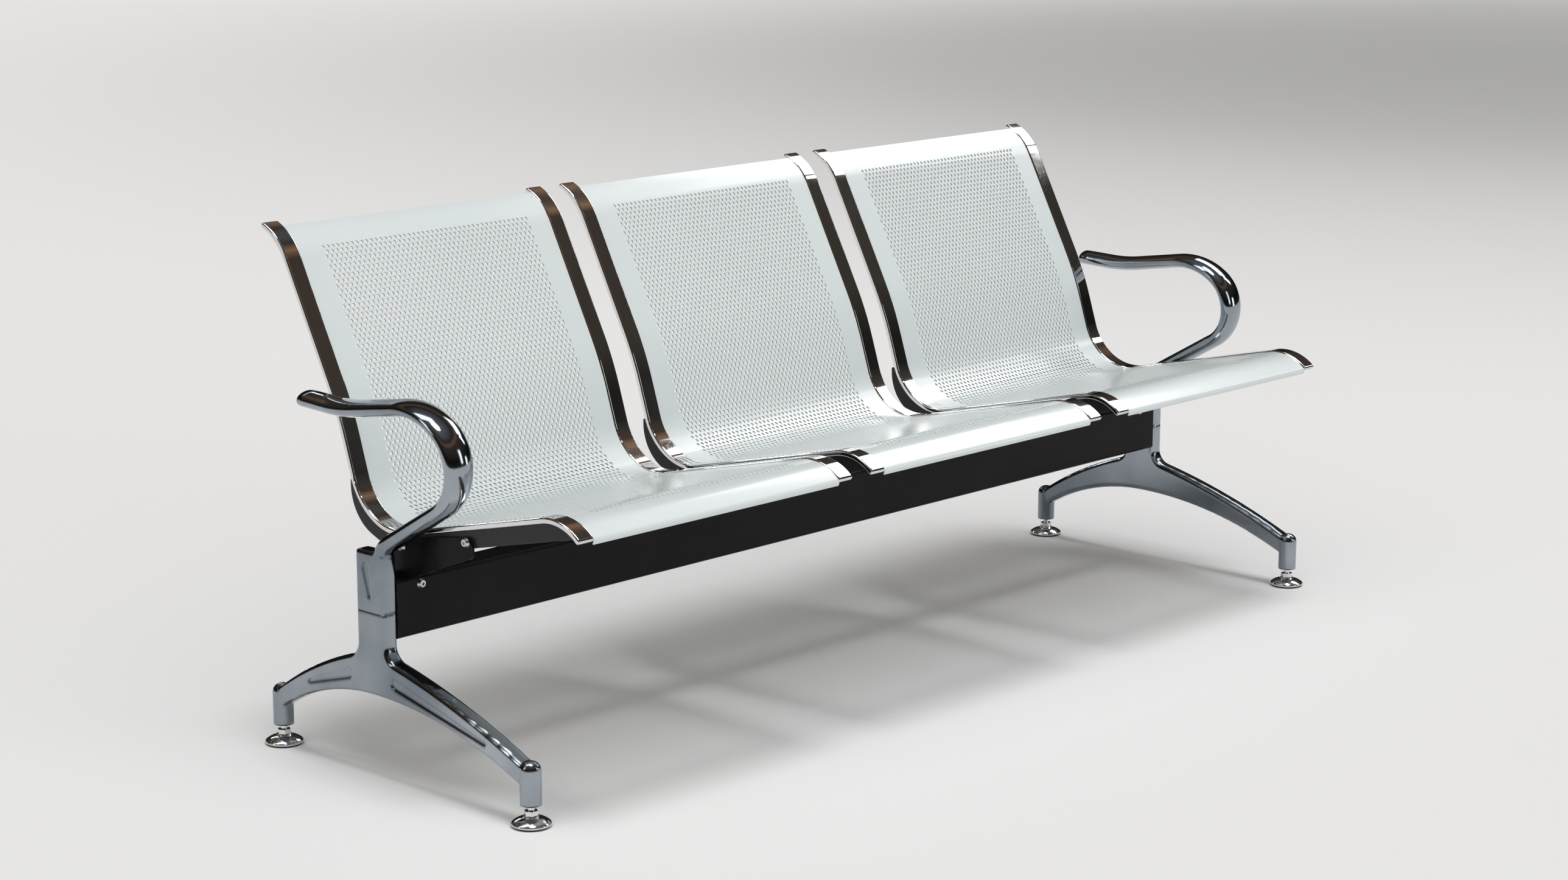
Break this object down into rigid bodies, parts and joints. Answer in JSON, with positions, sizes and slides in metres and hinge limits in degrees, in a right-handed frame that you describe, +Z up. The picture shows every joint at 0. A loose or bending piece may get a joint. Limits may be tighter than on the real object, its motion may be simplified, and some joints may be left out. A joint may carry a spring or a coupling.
{
  "type": "beam seating",
  "caption": "Bench of perforated metal seats in a row on one beam, with looped armrests, arched cast legs and screw-in levelling feet.",
  "frame": {"origin": "on the floor, under the middle of the bounding box", "axes": "+X along the beam to the sitter's left (the right end seen from the front), -Y to the front, +Z up"},
  "size_m": [1.8072, 0.6562, 0.7523],
  "materials": {
    "seat_sheet": "semi-gloss",
    "bright_chrome": "polished",
    "polished_casting": "polished",
    "black_paint": "gloss",
    "zinc": "zinc plated",
    "rubber": "matt"
  },
  "bodies": {
    "bench": {"beam": "black_paint", "leg_left": "polished_casting", "armrest_left": "polished_casting", "leg_right": "polished_casting", "armrest_right": "polished_casting", "seat_panel_1": "seat_sheet", "seat_rail_1_left": "bright_chrome", "side_plate_1_left": "black_paint", "seat_bracket_1_left": "black_paint", "seat_rail_1_right": "bright_chrome", "side_plate_1_right": "black_paint", "seat_bracket_1_right": "black_paint", "seat_panel_2": "seat_sheet", "seat_rail_2_left": "bright_chrome", "side_plate_2_left": "black_paint", "seat_bracket_2_left": "black_paint", "seat_rail_2_right": "bright_chrome", "side_plate_2_right": "black_paint", "seat_bracket_2_right": "black_paint", "seat_panel_3": "seat_sheet", "seat_rail_3_left": "bright_chrome", "side_plate_3_left": "black_paint", "seat_bracket_3_left": "black_paint", "seat_rail_3_right": "bright_chrome", "side_plate_3_right": "black_paint", "seat_bracket_3_right": "black_paint", "bracket_bolts": "zinc", "bracket_washers": "zinc", "beam_inserts": "zinc", "plate_bolts": "zinc", "plate_nuts": "zinc", "armrest_bolts": "zinc", "leg_bolts": "zinc"},
    "foot_left_front": {"foot_disc_left_front": "bright_chrome", "foot_pad_left_front": "rubber"},
    "stem_left_front": {"foot_stem_left_front": "zinc"},
    "foot_left_rear": {"foot_disc_left_rear": "bright_chrome", "foot_pad_left_rear": "rubber"},
    "stem_left_rear": {"foot_stem_left_rear": "zinc"},
    "foot_right_front": {"foot_disc_right_front": "bright_chrome", "foot_pad_right_front": "rubber"},
    "stem_right_front": {"foot_stem_right_front": "zinc"},
    "foot_right_rear": {"foot_disc_right_rear": "bright_chrome", "foot_pad_right_rear": "rubber"},
    "stem_right_rear": {"foot_stem_right_rear": "zinc"}
  },
  "joints": [
    {"name": "foot_height_left_front", "type": "slide", "parent": "bench", "child": "foot_left_front", "axis": [0, 0, 1], "range_m": [-0.012, 0.0078]},
    {"name": "foot_turn_left_front", "type": "hinge", "parent": "foot_left_front", "child": "stem_left_front", "pos_m": [-0.87555, -0.26446, 0.02], "axis": [0, 0, 1], "range_deg": [-2890, 1880]},
    {"name": "foot_height_left_rear", "type": "slide", "parent": "bench", "child": "foot_left_rear", "axis": [0, 0, 1], "range_m": [-0.012, 0.0078]},
    {"name": "foot_turn_left_rear", "type": "hinge", "parent": "foot_left_rear", "child": "stem_left_rear", "pos_m": [-0.87555, 0.26754, 0.02], "axis": [0, 0, 1], "range_deg": [-2890, 1880]},
    {"name": "foot_height_right_front", "type": "slide", "parent": "bench", "child": "foot_right_front", "axis": [0, 0, 1], "range_m": [-0.012, 0.0078]},
    {"name": "foot_turn_right_front", "type": "hinge", "parent": "foot_right_front", "child": "stem_right_front", "pos_m": [0.87555, -0.26446, 0.02], "axis": [0, 0, 1], "range_deg": [-2890, 1880]},
    {"name": "foot_height_right_rear", "type": "slide", "parent": "bench", "child": "foot_right_rear", "axis": [0, 0, 1], "range_m": [-0.012, 0.0078]},
    {"name": "foot_turn_right_rear", "type": "hinge", "parent": "foot_right_rear", "child": "stem_right_rear", "pos_m": [0.87555, 0.26754, 0.02], "axis": [0, 0, 1], "range_deg": [-2890, 1880]}
  ],
  "couplings": [
    {"joint": "foot_turn_left_front", "follows": "foot_height_left_front", "rad_per_m": 4188.8},
    {"joint": "foot_turn_left_rear", "follows": "foot_height_left_rear", "rad_per_m": 4188.8},
    {"joint": "foot_turn_right_front", "follows": "foot_height_right_front", "rad_per_m": 4188.8},
    {"joint": "foot_turn_right_rear", "follows": "foot_height_right_rear", "rad_per_m": 4188.8}
  ]
}
